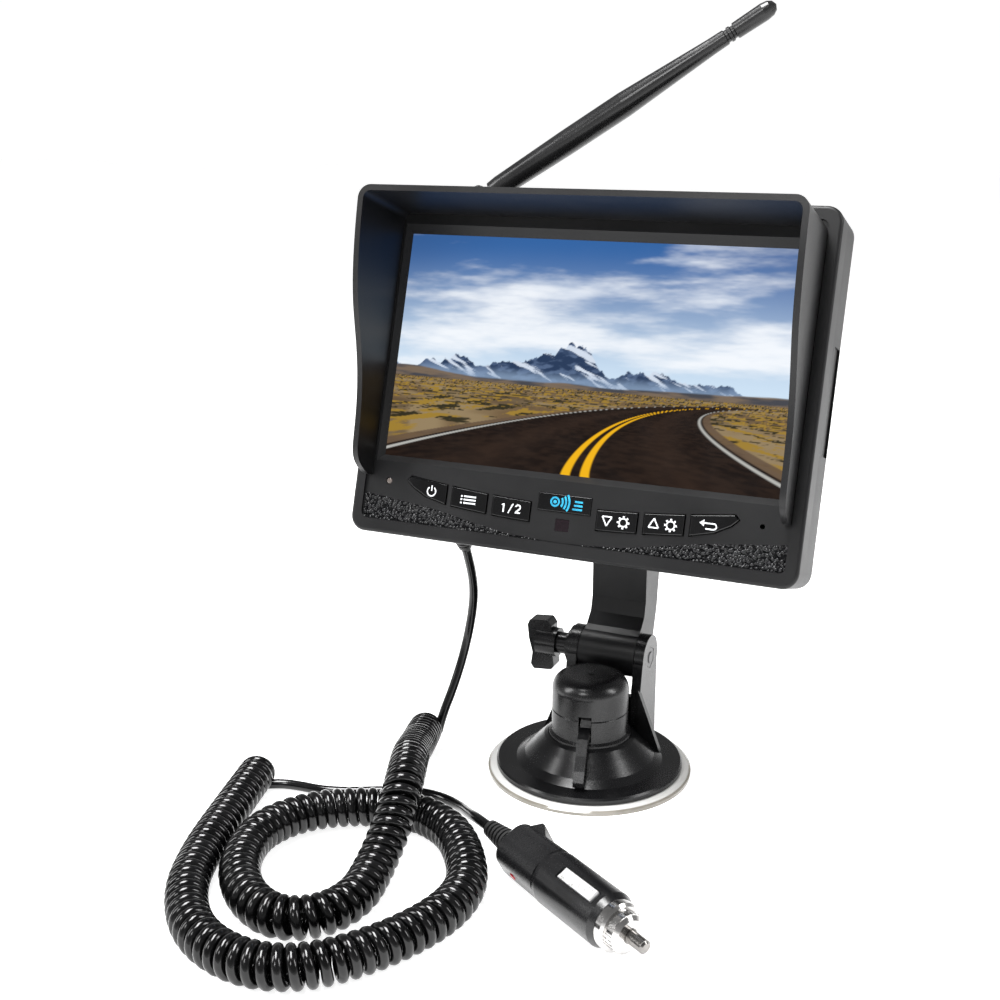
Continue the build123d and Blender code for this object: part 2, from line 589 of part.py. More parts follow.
TAIL_ROUTE = [(-109.4, -72.0, 2.4), (-104.6, -68.0, 2.0), (-96.5, -66.6, 2.0), (-86.0, -66.2, 2.0),
              (-75.5, -62.4, 2.0), (-64.0, -56.2, 2.0), (-52.0, -51.6, 2.0), (-40.5, -51.6, 2.0),
              (-30.5, -56.8, 2.9), (-22.6, -66.0, 6.6), (-16.05, -72.86, 9.8), (-8.4, -77.6, 9.8)]


def bend_radii(points):
    """Each corner's arc: 0.45 of the shorter run, over the tangent of half the turn."""
    radii = []
    for before, here, after in zip(points, points[1:], points[2:]):
        run_in, run_out = Vector(*here) - Vector(*before), Vector(*after) - Vector(*here)
        turn = run_in.get_angle(run_out)
        radii.append(0.45 * min(run_in.length, run_out.length) / tan(radians(turn / 2)))
    return radii


def tube(points, r):
    radii = bend_radii(points)
    path = FilletPolyline(*points, radius=radii)
    section = Plane(origin=path @ 0, z_dir=path % 0) * Circle(r)
    body = sweep(section, path=path)
    nominal = pi * r * r * path.length
    print(f"  tube {path.length:.1f} mm, {body.volume / nominal:.4f} of section x length,",
          "radii", " ".join(f"{x:.0f}" for x in radii))
    return body


# ---- plug: x across, y up, z towards the tip, from the relief's wire end -------------------
RELIEF_L = 15.5
NECK_Z = 38.5
PLUG_R = 9.6
CONTACT_R = 10.1
BARREL_END = 71.5
RING_END = 79.5
TIP_END = 87.0
PIN_BACK = BARREL_END - 2.1  # the tip's flange, against the ring
CONTACT_Z0, CONTACT_Z1 = 48.5, 66.5
LED_Z, LED_R = 25.5, 1.5
SCREW_Z = 33.0


def plug_section(z, w, h, r):
    return Plane.XY.offset(z) * RectangleRounded(2 * w, 2 * h, r)


def plug_outer():
    rear = loft([plug_section(RELIEF_L, 7.0, 6.9, 5.5), plug_section(RELIEF_L + 2.2, 8.8, 8.5, 6.5)])
    grip = loft([plug_section(RELIEF_L + 2.1, 8.8, 8.5, 6.5), plug_section(NECK_Z, 9.2, 9.0, 7.5)])
    barrel = turned([(0, NECK_Z - 0.1), (9.3, NECK_Z - 0.1), (PLUG_R, NECK_Z + 2.0),
                     (PLUG_R, BARREL_END - 2.5), (8.6, BARREL_END), (0, BARREL_END)])
    fin = Polyline((0, -7.5, 17.2), (0, -11.4, 20.6), (0, -11.4, 22.0), (0, -7.5, 27.5), close=True)
    return rear + grip + barrel + extrude(make_face(fin), 4.5, both=True, dir=(1, 0, 0))


def plug_inside():
    body = Pos(0, 0, (RELIEF_L + 3 + 68) / 2) * Cylinder(6.4, 68 - RELIEF_L - 3)
    body += Pos(0, 0, 73) * Cylinder(4.2, 12)
    body += Pos(0, 0, RELIEF_L) * Cylinder(3.0, 8)
    for side in (-1, 1):
        body += box(min(side * 4, side * 12), max(side * 4, side * 12), -2.4, 2.4,
                    CONTACT_Z0 - 0.6, CONTACT_Z1 + 0.6)
    return body


def cross(y0, y1, z, r):
    """A round bar across the plug, along its own y."""
    return Pos(0, (y0 + y1) / 2, z) * Rot(90, 0, 0) * Cylinder(r, y1 - y0)


def plug_shell(front):
    half = box(-20, 20, 0.0, 20, 0, 90) if front else box(-20, 20, -20, 0.0, 0, 90)
    body = (plug_outer() - plug_inside()) & half
    if front:
        return PLUG * (body - cross(5, 12, LED_Z, LED_R + RUN))
    return PLUG * (body - cross(-12, -7.4, SCREW_Z, 2.2) - cross(-12, -5, SCREW_Z, 1.2))


def plug_relief():
    body = Pos(0, 0, RELIEF_L / 2) * Cone(3.1, 4.9, RELIEF_L)
    body += cyl(0, 0, RELIEF_L - 3.9, RELIEF_L + 4.0, 2.9)
    body += cyl(0, 0, RELIEF_L + 3.1, RELIEF_L + 4.6, 5.2)
    for step in range(6):
        z = 2.2 + 2.1 * step
        ring_r = 3.1 + 1.8 * z / RELIEF_L
        body -= Pos(0, 0, z) * (Cylinder(8, 0.9) - Cylinder(ring_r - 0.75, 1.0))
    return PLUG * body


def plug_contact(side):
    """A spring blade that stands proud of the barrel's side and is pushed in by a socket."""
    arc = Pos(side * 1.6, 0, 0) * box(min(side * 5.2, side * 8.6), max(side * 5.2, side * 8.6),
                                      -2.1, 2.1, CONTACT_Z0 + 0.2, CONTACT_Z1 - 0.2)
    edges = arc.edges().filter_by(Axis.Y).sort_by(Axis.X)
    outer = edges[-2:] if side > 0 else edges[:2]
    return PLUG * (fillet(outer, 1.4) & cyl(0, 0, CONTACT_Z0, CONTACT_Z1, CONTACT_R))


def plug_ring():
    body = cyl(0, 0, BARREL_END - 1.2, BARREL_END + 0.2, 4.1)
    body += cyl(0, 0, BARREL_END + 0.05, BARREL_END + 2.6, 8.5)
    body += Pos(0, 0, BARREL_END + 3.0) * Cone(8.5, 7.6, 0.8)
    body += cyl(0, 0, BARREL_END + 3.3, RING_END - 1.2, 6.9)
    body += Pos(0, 0, RING_END - 0.65) * Cone(6.6, 5.2, 1.3)
    for k in range(28):
        groove = Rot(0, 0, k * 360 / 28) * Pos(6.95, 0, BARREL_END + 5.4) * Box(0.5, 0.55, 3.6)
        body -= groove
    body -= cyl(0, 0, BARREL_END - 3, RING_END + 3, 2.7)
    return PLUG * body


def plug_pin():
    body = cyl(0, 0, PIN_BACK, RING_END + 0.2, 2.65)
    body += cyl(0, 0, RING_END, TIP_END - 0.6, 2.3)
    body += Pos(0, 0, TIP_END - 0.4) * Cone(2.3, 1.4, 0.8)
    body += cyl(0, 0, PIN_BACK, PIN_BACK + 0.8, 3.9)
    return PLUG * body


def plug_fuse():
    body = cyl(0, 0, 40.5, 59.5, 2.3)
    body += cyl(0, 0, 36.5, 40.6, 3.0)
    body += cyl(0, 0, 59.4, 63.5, 3.0)
    return PLUG * body


def plug_spring():
    low, high = 64.2, PIN_BACK - 1.0
    path = Helix(pitch=(high - low) / 3.5, height=high - low, radius=2.7, center=(0, 0, low))
    wire = Plane(origin=path @ 0, z_dir=path % 0) * Circle(0.4)
    return PLUG * sweep(wire, path=path)


def plug_led():
    lens = cross(5.2, 9.1, LED_Z, LED_R)
    return PLUG * fillet(lens.edges().sort_by(Axis.Y)[-1:], 0.8)


def plug_screw():
    body = cross(-8.5, -7.5, SCREW_Z, 2.1) + cross(-7.6, -5.2, SCREW_Z, 1.15)
    return PLUG * body


def build():
    head = {
        "front_bezel": front_bezel(), "rear_housing": rear_housing(), "sun_hood": sun_hood(),
        "lcd_panel": lcd_panel(), "lcd_frame": lcd_frame(), "main_board": main_board(),
        "button_board": button_board(), "tact_switches": tact_switches(),
        "receiver_board": receiver_board(), "speaker": speaker(), "badge": badge(),
        "ir_window": ir_window(), "power_led": power_led(), "case_screws": case_screws(),
        "dock_shoe": dock_shoe(), "dock_screws": dock_screws(), "cord_gland": cord_gland(),
        "antenna_socket": antenna_socket(), "antenna_collar": antenna_collar(),
        "antenna_pin": antenna_pin(), "antenna_mast": antenna_mast(),
    }
    for name, shape in BUTTONS.items():
        head[name] = button(*shape)
    for name, shape in head.items():
        save(MONITOR * shape, name)
    save(arm(), "arm")
    save(suction_cup(), "suction_cup")
    save(mount_base(), "mount_base")
    save(cam_housing(), "cam_housing")
    save(dome_cap(), "dome_cap")
    save(cam_lever(), "cam_lever")
    save(lever_pin(), "lever_pin")
    save(pull_stem(), "pull_stem")
    save(stem_spring(), "stem_spring")
    save(hinge_nut(), "hinge_nut")
    save(hinge_bolt(), "hinge_bolt")
    save(hinge_washers(), "hinge_washers")
    save(wing_knob(), "wing_knob")
    save(tube(LEAD_ROUTE, WIRE_R), "cord_lead")
    save(tube(CURL_ROUTE, CURL_R), "cord_curl")
    save(tube(TAIL_ROUTE, WIRE_R), "cord_tail")
    save(plug_relief(), "plug_relief")
    save(plug_shell(True), "plug_shell_front")
    save(plug_shell(False), "plug_shell_back")
    save(plug_contact(-1), "plug_contact_left")
    save(plug_contact(1), "plug_contact_right")
    save(plug_ring(), "plug_nose_ring")
    save(plug_pin(), "plug_pin")
    save(plug_fuse(), "plug_fuse")
    save(plug_spring(), "plug_spring")
    save(plug_led(), "plug_led")
    save(plug_screw(), "plug_screw")


build()
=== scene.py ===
import json
import math

import bpy
import numpy as np
from mathutils import Matrix, Vector


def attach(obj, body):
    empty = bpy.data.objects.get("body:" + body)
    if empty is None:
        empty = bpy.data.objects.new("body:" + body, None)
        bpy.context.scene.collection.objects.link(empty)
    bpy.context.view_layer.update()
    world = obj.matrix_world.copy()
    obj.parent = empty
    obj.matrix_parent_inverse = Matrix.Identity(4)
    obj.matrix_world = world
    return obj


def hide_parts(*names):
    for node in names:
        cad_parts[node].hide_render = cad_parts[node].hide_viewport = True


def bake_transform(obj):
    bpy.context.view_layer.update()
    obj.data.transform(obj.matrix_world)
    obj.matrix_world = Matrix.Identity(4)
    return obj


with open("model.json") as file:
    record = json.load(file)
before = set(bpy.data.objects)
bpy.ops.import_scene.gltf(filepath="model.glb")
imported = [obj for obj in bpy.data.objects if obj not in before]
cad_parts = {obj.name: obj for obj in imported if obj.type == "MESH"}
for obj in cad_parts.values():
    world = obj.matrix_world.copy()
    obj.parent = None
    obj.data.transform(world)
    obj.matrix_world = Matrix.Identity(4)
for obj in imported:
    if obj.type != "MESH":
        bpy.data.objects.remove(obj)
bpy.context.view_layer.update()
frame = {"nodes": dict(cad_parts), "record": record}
nodes = frame["nodes"]
MM = 0.001

# ---- the monitor's tilted frame, as in the CAD ----------------------------------------------
LEAN = math.radians(17.8)
SL, CL = math.sin(LEAN), math.cos(LEAN)
FACE = (0.0, -0.0277, 0.1304)  # the picture's lower middle, at the bezel's face
MONITOR = Matrix(((1, 0, 0, FACE[0]), (0, SL, -CL, FACE[1]), (0, CL, SL, FACE[2]), (0, 0, 0, 1)))
PICTURE_W, PICTURE_H = 154.9, 86.7
PICTURE_LOW, PICTURE_DEPTH = 0.4, 2.44  # below the frame's origin, and behind the bezel's face
PICTURE_COLUMNS, PICTURE_ROWS = 441, 247
ROW_LOW, ROW_R = -15.6, 455.0


# ---- materials ------------------------------------------------------------------------------
class Shader:
    """A Principled material, with short calls for the nodes that feed it. Sizes are in mm."""

    def __init__(self, name, colour, rough, **sockets):
        self.mat = bpy.data.materials.new(name)
        self.mat.use_nodes = True
        self.tree = self.mat.node_tree
        self.bsdf = self.tree.nodes["Principled BSDF"]
        self.colour = (*colour, 1)
        self.rough = rough
        self.bsdf.inputs["Base Color"].default_value = self.colour
        self.bsdf.inputs["Roughness"].default_value = rough
        for key, value in sockets.items():
            self.bsdf.inputs[key.replace("_", " ")].default_value = value
        self.place = self.add("ShaderNodeTexCoord").outputs["Object"]

    def add(self, kind, inputs=(), **props):
        node = self.tree.nodes.new(kind)
        for key, value in props.items():
            setattr(node, key, value)
        for key, value in dict(inputs).items():
            self.feed(node.inputs[key], value)
        return node

    def feed(self, socket, value):
        if isinstance(value, bpy.types.NodeSocket):
            self.tree.links.new(value, socket)
        else:
            socket.default_value = value

    def math(self, operation, a, b=0.0):
        return self.add("ShaderNodeMath", {0: a, 1: b}, operation=operation).outputs[0]

    def noise(self, size, detail=2.0, place=None):
        ins = {"Vector": place or self.place, "Scale": 1.0 / (size * MM), "Detail": detail}
        return self.add("ShaderNodeTexNoise", ins).outputs["Fac"]

    def cells(self, size, feature="F1", place=None):
        ins = {"Vector": place or self.place, "Scale": 1.0 / (size * MM)}
        return self.add("ShaderNodeTexVoronoi", ins, feature=feature).outputs["Distance"]

    def span(self, value, low, high, to_low, to_high):
        ins = {0: value, 1: low, 2: high, 3: to_low, 4: to_high}
        return self.add("ShaderNodeMapRange", ins).outputs[0]

    def mix(self, factor, a, b):
        node = self.add("ShaderNodeMix", {0: factor, 6: a, 7: b}, data_type="RGBA")
        return node.outputs[2]

    def blend(self, factor, a, b):
        return self.add("ShaderNodeMix", {0: factor, 2: a, 3: b}, data_type="FLOAT").outputs[0]

    def bump(self, height, depth, strength=1.0, normal=None):
        ins = {"Height": height, "Distance": depth * MM, "Strength": strength}
        if normal:
            ins["Normal"] = normal
        return self.add("ShaderNodeBump", ins).outputs["Normal"]

    def plain(self, grain, depth, wear=0.25, blotch=25.0, spread=0.07):
        """Fine moulded grain, uneven sheen and a slow change of tone."""
        fine = self.noise(grain, 3.0)
        slow = self.noise(blotch, 4.0)
        pale = tuple(min(1.0, c * (1 + wear) + 0.002) for c in self.colour[:3]) + (1,)
        dark = tuple(c * (1 - wear) for c in self.colour[:3]) + (1,)
        self.feed(self.bsdf.inputs["Base Color"], self.mix(self.span(slow, 0.35, 0.65, 0, 1), dark, pale))
        uneven = self.math("ADD", self.math("MULTIPLY", fine, 0.5), self.math("MULTIPLY", slow, 0.5))
        rough = self.span(uneven, 0.3, 0.7, max(0.02, self.rough - spread), self.rough + spread)
        self.feed(self.bsdf.inputs["Roughness"], rough)
        self.feed(self.bsdf.inputs["Normal"], self.bump(fine, depth))
        return self.mat


def dressed(name, colour, rough, grain, depth, wear=0.25, blotch=25.0, spread=0.07, **sockets):
    return Shader(name, colour, rough, **sockets).plain(grain, depth, wear, blotch, spread)


def bezel_material():
    """Fine matt charcoal, with a band of leather grain along the bottom of the face; the grain's creases
    carry painted shade and its tops a painted highlight.
    """
    s = Shader("bezel_matt", (0.006, 0.006, 0.0065), 0.40, Specular_IOR_Level=0.3)
    off = s.add("ShaderNodeVectorMath", {0: s.place, 1: FACE}, operation="SUBTRACT").outputs[0]
    across = s.math("ABSOLUTE", s.add("ShaderNodeSeparateXYZ", {0: off}).outputs[0])
    up = s.add("ShaderNodeVectorMath", {0: off, 1: (0, SL, CL)}, operation="DOT_PRODUCT").outputs["Value"]
    out = s.add("ShaderNodeVectorMath", {0: off, 1: (0, -CL, SL)}, operation="DOT_PRODUCT").outputs["Value"]
    ramp = s.add("ShaderNodeValToRGB", {0: s.span(across, 0, 0.0817, 0, 1)})
    stops = ramp.color_ramp.elements
    edge = [(0.0, -25.4), (0.1, -25.2), (0.29, -24.2), (0.66, -18.8), (1.0, -15.7)]
    for at, _ in edge[1:-1]:
        stops.new(at)
    for stop, (at, height) in zip(stops, edge):
        grey = (height + 30) / 20
        stop.position = at
        stop.color = (grey, grey, grey, 1)
    top = s.span(ramp.outputs["Color"], 0, 1, -0.030, -0.010)
    below = s.math("LESS_THAN", up, top)
    above = s.math("GREATER_THAN", up, -0.0254)
    inner = s.math("LESS_THAN", across, 0.0824)
    front = s.math("GREATER_THAN", out, -0.0004)
    level = s.math("LESS_THAN", out, 0.0003)
    mask = below
    for part in (above, inner, front, level):
        mask = s.math("MULTIPLY", mask, part)
    fine = s.noise(0.22, 3.0)
    slow = s.noise(30.0, 4.0)
    warp = s.add("ShaderNodeTexNoise", {"Vector": s.place, "Scale": 700.0, "Detail": 1.0}).outputs["Color"]
    jitter = {0: warp, 1: (0.0004, 0.0004, 0.0004)}
    moved = s.add("ShaderNodeVectorMath", jitter, operation="MULTIPLY").outputs[0]
    place = s.add("ShaderNodeVectorMath", {0: s.place, 1: moved}, operation="ADD").outputs[0]
    reach = s.math("MULTIPLY", s.cells(1.25, "F1", place), 1.25)
    dome = s.math("SUBTRACT", 1.0, s.math("MULTIPLY", reach, reach))
    height = s.math("MAXIMUM", dome, 0.0)
    grain = s.bump(s.math("MULTIPLY", height, mask), 0.75, 1.0)
    s.feed(s.bsdf.inputs["Normal"], s.bump(fine, 0.012, 1.0, grain))
    tone = s.mix(s.span(slow, 0.35, 0.65, 0, 1), (0.005, 0.005, 0.0055, 1), (0.0075, 0.0075, 0.008, 1))
    # Painted shade and highlight: the leather is coloured darker in the creases between the pebbles and paler
    # on their tops.
    crease_shade = s.span(height, 0.2, 0.75, 0, 1)
    leather = s.mix(crease_shade, (0.0015, 0.0015, 0.002, 1), (0.012, 0.012, 0.013, 1))
    s.feed(s.bsdf.inputs["Base Color"], s.mix(mask, tone, leather))
    sheen = s.span(slow, 0.3, 0.7, 0.36, 0.46)
    s.feed(s.bsdf.inputs["Roughness"], s.blend(mask, sheen, 0.15))
    return s.mat


def picture_material():
    s = Shader("screen_picture", (0.0, 0.0, 0.0), 0.2)
    seen = s.add("ShaderNodeAttribute", attribute_name="Picture").outputs["Color"]
    s.feed(s.bsdf.inputs["Emission Color"], seen)
    s.bsdf.inputs["Emission Strength"].default_value = 1.0
    s.bsdf.inputs["Specular IOR Level"].default_value = 0.12
    s.feed(s.bsdf.inputs["Roughness"], s.span(s.noise(9.0), 0.3, 0.7, 0.16, 0.24))
    return s.mat


MAT = {
    "black_plastic": bezel_material(),
    "rear": dressed("rear_shell", (0.006, 0.006, 0.0065), 0.42, 0.35, 0.02, Specular_IOR_Level=0.25),
    "hood_plastic": dressed("hood_satin", (0.005, 0.005, 0.0055), 0.38, 0.28, 0.01, spread=0.05,
                            Specular_IOR_Level=0.38),
    "gloss_plastic": dressed("button_gloss", (0.0012, 0.0012, 0.0015), 0.09, 2.0, 0.004, spread=0.02),
    "screen_glass": dressed("panel_glass", (0.004, 0.004, 0.005), 0.15, 3.0, 0.004, spread=0.03),
    "mount_plastic": dressed("mount_satin", (0.004, 0.004, 0.0045), 0.24, 0.5, 0.012, spread=0.07,
                             Specular_IOR_Level=0.4),
    "arm_plastic": dressed("arm_satin", (0.004, 0.004, 0.0045), 0.36, 0.4, 0.015, spread=0.07,
                           Specular_IOR_Level=0.3),
    "dome_plastic": dressed("dome_satin", (0.005, 0.005, 0.0055), 0.27, 0.4, 0.015, spread=0.06),
    "steel": dressed("zinc_steel", (0.5, 0.5, 0.51), 0.3, 0.3, 0.01, 0.15, Metallic=1.0),
    "blackened": dressed("black_steel", (0.03, 0.03, 0.032), 0.3, 0.3, 0.01, Metallic=0.6),
    "chrome": dressed("nickel", (0.62, 0.61, 0.60), 0.16, 1.2, 0.01, 0.12, 9.0, 0.05, Metallic=1.0),
    "contact": dressed("bright_blade", (0.86, 0.86, 0.85), 0.3, 1.2, 0.01, 0.06, 6.0, 0.06, Metallic=0.7),
    "dark_chrome": dressed("dark_nickel", (0.24, 0.23, 0.22), 0.2, 1.0, 0.01, 0.2, 5.0, 0.06, Metallic=1.0),
    "circuit_board": dressed("solder_mask", (0.02, 0.12, 0.05), 0.3, 1.5, 0.02),
    "switch_metal": dressed("tin_plate", (0.45, 0.45, 0.46), 0.35, 1.0, 0.02, Metallic=1.0),
    "speaker_cone": dressed("cone_paper", (0.02, 0.02, 0.02), 0.7, 0.8, 0.08),
    "lens_red": dressed("red_lens", (0.30, 0.004, 0.008), 0.15, 1.0, 0.01),
    "lens_clear": dressed("clear_lens", (0.12, 0.10, 0.09), 0.12, 1.0, 0.01),
    "lens_smoke": dressed("smoke_lens", (0.006, 0.002, 0.004), 0.18, 2.0, 0.006),
    "antenna_rubber": dressed("antenna_satin", (0.008, 0.008, 0.0085), 0.27, 0.35, 0.003),
    "cable_pvc": dressed("cable_gloss", (0.002, 0.002, 0.0022), 0.15, 1.6, 0.006, 0.4, 12.0, 0.04,
                         Specular_IOR_Level=0.42),
    "relief_rubber": dressed("relief_rubber", (0.010, 0.010, 0.010), 0.45, 0.4, 0.03),
    "plug_plastic": dressed("plug_satin", (0.0045, 0.0045, 0.005), 0.25, 0.6, 0.015, spread=0.06),
    "spring_steel": dressed("spring_steel", (0.5, 0.5, 0.5), 0.25, 0.5, 0.01, Metallic=1.0),
    "fuse_glass": dressed("fuse_glass", (0.7, 0.72, 0.72), 0.1, 2.0, 0.004, Transmission_Weight=0.8),
    "marks": dressed("white_print", (0.80, 0.82, 0.84), 0.45, 0.3, 0.004, 0.05),
    "glyph": dressed("cyan_print", (0.02, 0.34, 0.56), 0.35, 0.3, 0.004, 0.2, 3.0),
    "picture": picture_material(),
}


def clear_pvc():
    """Thick clear vinyl, which shows milky grey against the floor; its rim is painted pale, a painted
    highlight for the light caught by the clear edge.
    """
    s = Shader("clear_pvc", (0.60, 0.57, 0.52), 0.10, Coat_Weight=0.6, Coat_Roughness=0.05)
    s.bsdf.inputs["Transmission Weight"].default_value = 0.25
    height = s.add("ShaderNodeSeparateXYZ", {0: s.place}).outputs[2]
    slow = s.noise(14.0, 3.0)
    tone = s.mix(s.span(slow, 0.35, 0.65, 0, 1), (0.20, 0.185, 0.15, 1), (0.30, 0.28, 0.24, 1))
    # Painted highlight: the top of the rim is coloured near white, for the light that the clear edge catches.
    pale = s.mix(s.span(height, 0.00172, 0.00186, 0, 1), tone, (0.90, 0.90, 0.89, 1))
    s.feed(s.bsdf.inputs["Base Color"], pale)
    s.feed(s.bsdf.inputs["Roughness"], s.span(s.noise(2.5, 3.0), 0.3, 0.7, 0.06, 0.14))
    s.feed(s.bsdf.inputs["Normal"], s.bump(s.noise(6.0, 2.0), 0.03))
    return s.mat


MAT["clear_pvc"] = clear_pvc()
OWN = {
    "rear_housing": "rear", "dock_shoe": "rear", "arm": "arm_plastic", "dome_cap": "dome_plastic",
    "cam_housing": "dome_plastic", "hinge_bolt": "blackened", "plug_pin": "dark_chrome",
    "wing_knob": "mount_plastic", "hinge_nut": "blackened", "lever_pin": "blackened",
    "plug_contact_left": "contact", "plug_contact_right": "contact",
}
slots = {s["node"]: s["material_slot"] for s in frame["record"]["subparts"]}
for name, node in nodes.items():
    look = MAT[OWN.get(name, slots[name])]
    if not node.material_slots:
        node.data.materials.append(look)
    for place in node.material_slots:
        place.material = look


# ---- mesh helpers ---------------------------------------------------------------------------
def mesh_piece(name, verts, faces, material, matrix=None, smooth=False):
    mesh = bpy.data.meshes.new(name)
    mesh.from_pydata([tuple(v) for v in verts], [], faces)
    if matrix is not None:
        mesh.transform(matrix)
    mesh.materials.append(material)
    mesh.polygons.foreach_set("use_smooth", [smooth] * len(mesh.polygons))
    mesh.update()
    piece = bpy.data.objects.new(name, mesh)
    bpy.context.scene.collection.objects.link(piece)
    return piece


def spline_points(name, route):
    """Points along the route's NURBS spline, close together, as Blender evaluates it."""
    curve = bpy.data.curves.new(name, "CURVE")
    curve.dimensions = "3D"
    spline = curve.splines.new("NURBS")
    spline.points.add(len(route) - 1)
    for point, (x, y, z) in zip(spline.points, route):
        point.co = (x * MM, y * MM, z * MM, 1)
    spline.order_u = 3
    spline.use_endpoint_u = True
    spline.resolution_u = 24
    holder = bpy.data.objects.new(name, curve)
    mesh = bpy.data.meshes.new_from_object(holder)
    points = np.array([v.co[:] for v in mesh.vertices])
    bpy.data.objects.remove(holder)
    return points


def even(points, step):
    """The same line, with points a step apart."""
    runs = np.linalg.norm(np.diff(points, axis=0), axis=1)
    points = points[np.concatenate([[True], runs > 1e-9])]
    at = np.concatenate([[0], np.cumsum(np.linalg.norm(np.diff(points, axis=0), axis=1))])
    wanted = np.linspace(0, at[-1], max(2, int(round(at[-1] / step)) + 1))
    return np.stack([np.interp(wanted, at, points[:, k]) for k in range(3)], 1), at[-1]


def frames(points):
    """Tangents and two crossways directions that turn as little as they can."""
    tangent = np.gradient(points, axis=0)
    tangent /= np.linalg.norm(tangent, axis=1)[:, None]
    side = np.zeros_like(points)
    first = np.cross(tangent[0], (0, 0, 1))
    side[0] = first / np.linalg.norm(first)
    for k in range(1, len(points)):
        s = side[k - 1] - tangent[k] * np.dot(side[k - 1], tangent[k])
        side[k] = s / np.linalg.norm(s)
    return tangent, side, np.cross(tangent, side)


def wire_piece(name, centres, radius, sides, material):
    """A round tube with a ring at each centre and rounded ends."""
    tangent, side, up = frames(centres)
    angle = np.arange(sides) * 2 * math.pi / sides
    ring = side[:, None, :] * np.cos(angle)[None, :, None] + up[:, None, :] * np.sin(angle)[None, :, None]
    verts = (centres[:, None, :] + radius * ring).reshape(-1, 3)
    count = len(centres)
    faces = []
    for k in range(count - 1):
        for j in range(sides):
            n = (j + 1) % sides
            faces.append((k * sides + j, k * sides + n, (k + 1) * sides + n, (k + 1) * sides + j))
    ends = np.array([centres[0] - tangent[0] * radius * 0.3, centres[-1] + tangent[-1] * radius * 0.3])
    verts = np.concatenate([verts, ends])
    tip0, tip1 = count * sides, count * sides + 1
    for j in range(sides):
        n = (j + 1) % sides
        faces.append((tip0, n, j))
        faces.append((tip1, (count - 1) * sides + j, (count - 1) * sides + n))
    return mesh_piece(name, verts, faces, material, smooth=True)


# ---- power lead -----------------------------------------------------------------------------
WIRE_R = 0.0019
COIL_R = 0.0054  # from the curl's middle line to the wire's
TURNS = 131
POINTS_A_TURN = 26
END_TURNS, END_NARROWING = 0.6, 0.10
LEAD_ROUTE = [(-51.0, -9.28, 90.23), (-51.0, -4.26, 80.45), (-52.6, 2.2, 66.5), (-55.6, 4.4, 51.5),
              (-57.6, 1.0, 37.5), (-59.6, -5.0, 25.0), (-62.4, -9.2, 14.6), (-63.6, -10.8, 7.6)]
CURL_ROUTE = [(-68.4, -12.8, 9.0), (-61.2, -33.0, 13.0), (-52.0, -56.0, 20.6), (-45.0, -71.0, 25.4),
              (-38.2, -88.0, 24.6), (-35.8, -101.5, 15.5), (-34.3, -117.0, 8.3), (-31.6, -133.0, 7.3),
              (-36.5, -147.0, 7.3), (-48.5, -154.0, 7.3), (-62.5, -149.5, 7.3), (-75.0, -138.5, 7.3),
              (-83.0, -123.5, 7.3), (-85.5, -107.5, 7.3), (-78.0, -90.5, 7.3), (-61.0, -78.5, 7.3),
              (-41.5, -73.4, 7.3), (-23.5, -79.8, 7.3), (-10.5, -94.0, 7.3), (-1.0, -111.5, 7.3),
              (-1.0, -131.0, 7.3), (-11.5, -155.0, 7.3), (-27.0, -173.5, 7.3), (-46.0, -179.0, 7.3),
              (-68.5, -172.2, 7.3), (-86.0, -153.8, 7.3), (-95.6, -132.0, 7.3), (-102.9, -107.0, 7.3),
              (-112.4, -71.0, 7.3)]
TAIL_ROUTE = [(-109.4, -72.0, 2.4), (-104.6, -68.0, 2.0), (-96.5, -66.6, 2.0), (-86.0, -66.2, 2.0),
              (-75.5, -62.4, 2.0), (-64.0, -56.2, 2.0), (-52.0, -51.6, 2.0), (-40.5, -51.6, 2.0),
              (-30.5, -56.8, 2.9), (-22.6, -66.0, 6.6), (-16.05, -72.86, 9.8), (-8.4, -77.6, 9.8)]

lead_line, lead_length = even(spline_points("lead_line", LEAD_ROUTE), 0.0015)
tail_line, tail_length = even(spline_points("tail_line", TAIL_ROUTE), 0.0015)
lead = wire_piece("lead_wire", lead_line, WIRE_R, 18, MAT["cable_pvc"])
tail = wire_piece("tail_wire", tail_line, WIRE_R, 18, MAT["cable_pvc"])


def coil_line():
    """The curly wire's own middle line: turns about the route, from the lead's end to the tail's start."""
    steps = TURNS * POINTS_A_TURN
    middle, _ = even(spline_points("curl_line", CURL_ROUTE), 0.001)
    fine, length = even(middle, 0.00012)
    fine, _ = even(fine, length / steps)
    tangent, side, up = frames(fine)

    def angle_of(target, k):
        way = np.array(target) * MM - fine[k]
        return math.atan2(np.dot(way, up[k]), np.dot(way, side[k]))

    start = angle_of(LEAD_ROUTE[-1], 0)
    finish = angle_of(TAIL_ROUTE[0], -1)
    total = TURNS * 2 * math.pi + ((finish - start) % (2 * math.pi))
    turn = start + total * np.linspace(0, 1, len(fine))
    # the curl narrows a little at both ends, as a moulded one does
    at = np.linspace(0, TURNS, len(fine))
    near = np.minimum(at, TURNS - at)
    size = COIL_R * (1 - END_NARROWING * np.clip(1 - near / END_TURNS, 0, 1))
    line = fine + size[:, None] * (side * np.cos(turn)[:, None] + up * np.sin(turn)[:, None])
    line[:, 2] = np.maximum(line[:, 2], WIRE_R + 0.00002)
    return line


curl_line = coil_line()
curl = wire_piece("curly_wire", curl_line, WIRE_R, 12, MAT["cable_pvc"])
for piece, node in ((lead, "cord_lead"), (curl, "cord_curl"), (tail, "cord_tail")):
    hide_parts(node)
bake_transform(lead)
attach(curl, "base")
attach(tail, "base")


